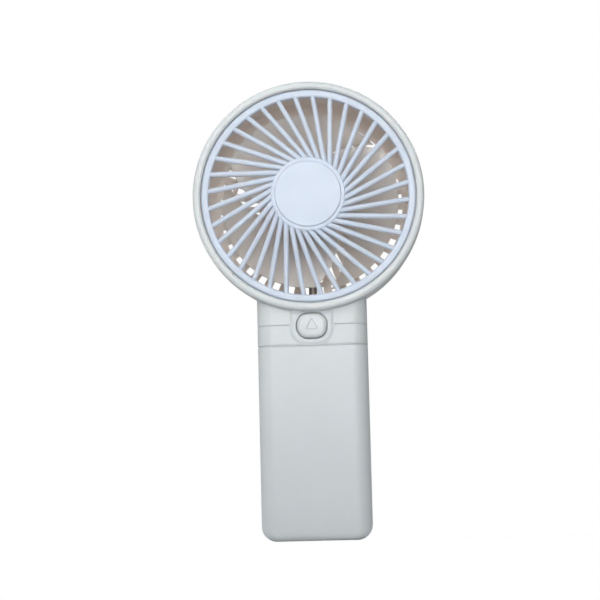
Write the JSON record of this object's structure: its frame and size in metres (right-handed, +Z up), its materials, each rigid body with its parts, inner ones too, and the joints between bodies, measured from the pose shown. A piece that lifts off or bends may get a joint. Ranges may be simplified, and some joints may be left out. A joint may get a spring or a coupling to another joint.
{
  "type": "handheld electric fan",
  "caption": "Battery handheld fan with a round ducted head, spoked front grille, wide-bladed impeller, push button and a flat rounded grip whose sleeve slides off the battery tray.",
  "frame": {"origin": "middle of the foot that the fan stands on, at the bottom of the grip sleeve", "axes": "+Z up along the handle to the head, -Y is the front that the air leaves, +X to the right seen from the front"},
  "size_m": [0.1, 0.039, 0.198],
  "materials": {
    "shell_plastic": "satin moulded ABS, cream white",
    "grille_plastic": "semi-gloss moulded plastic, cool white",
    "impeller_plastic": "semi-gloss moulded plastic, warm cream",
    "button_plastic": "satin moulded ABS, cream white",
    "tray_plastic": "satin moulded ABS, cream white",
    "cap_plastic": "natural nylon",
    "shaft_steel": "ground steel",
    "lamination_steel": "stacked steel sheet",
    "copper_wire": "enamelled copper",
    "can_steel": "drawn plated steel",
    "ferrite": "sintered ferrite, dark grey",
    "bush_bronze": "sintered bronze",
    "contact_metal": "nickel-plated spring strip",
    "spring_steel": "nickel-plated wire",
    "screw_steel": "zinc-plated steel",
    "wire_skin": "PVC wire insulation",
    "board": "green solder mask",
    "component_black": "black moulded component plastic",
    "cell_wrap": "plain metallic grey foil sleeve on a steel can"
  },
  "bodies": {
    "housing": {"front_shell": "shell_plastic", "rear_shell": "shell_plastic", "motor_can": "can_steel", "motor_magnets": "ferrite", "motor_bushes": "bush_bronze", "motor_end_cap": "cap_plastic", "motor_brushes": "contact_metal", "motor_terminals": "contact_metal", "motor_wires": "wire_skin", "control_board": "board", "board_components": "component_black", "board_screws": "screw_steel", "switch_body": "component_black", "battery_tray": "tray_plastic", "battery_left": "cell_wrap", "battery_middle": "cell_wrap", "battery_right": "cell_wrap", "contact_springs": "spring_steel", "lower_bridge": "contact_metal", "lower_tab": "contact_metal", "upper_tab": "contact_metal", "upper_bridge": "contact_metal", "battery_wires": "wire_skin", "case_screws": "screw_steel", "button_spring": "spring_steel"},
    "rotor": {"impeller": "impeller_plastic", "motor_shaft": "shaft_steel", "motor_armature": "lamination_steel", "motor_windings": "copper_wire", "motor_commutator": "copper_wire"},
    "button": {"power_button": "button_plastic", "switch_plunger": "component_black"},
    "sleeve": {"grip_sleeve": "shell_plastic"},
    "grille": {"front_grille": "grille_plastic"}
  },
  "joints": [
    {"name": "impeller_spin", "type": "hinge", "parent": "housing", "child": "rotor", "pos_m": [0, 0, 0.148], "axis": [0, -1, 0], "continuous": true},
    {"name": "button_press", "type": "slide", "parent": "housing", "child": "button", "axis": [0, 1, 0], "range_m": [0, 0.0012], "stiffness_N_per_m": 900, "springref_m": -0.001, "deforming": ["button_spring"]},
    {"name": "grille_pull", "type": "slide", "parent": "housing", "child": "grille", "axis": [0, -1, 0], "range_m": [0, 0.03]},
    {"name": "sleeve_slide", "type": "slide", "parent": "housing", "child": "sleeve", "axis": [0, 0, -1], "range_m": [0, 0.09]}
  ]
}
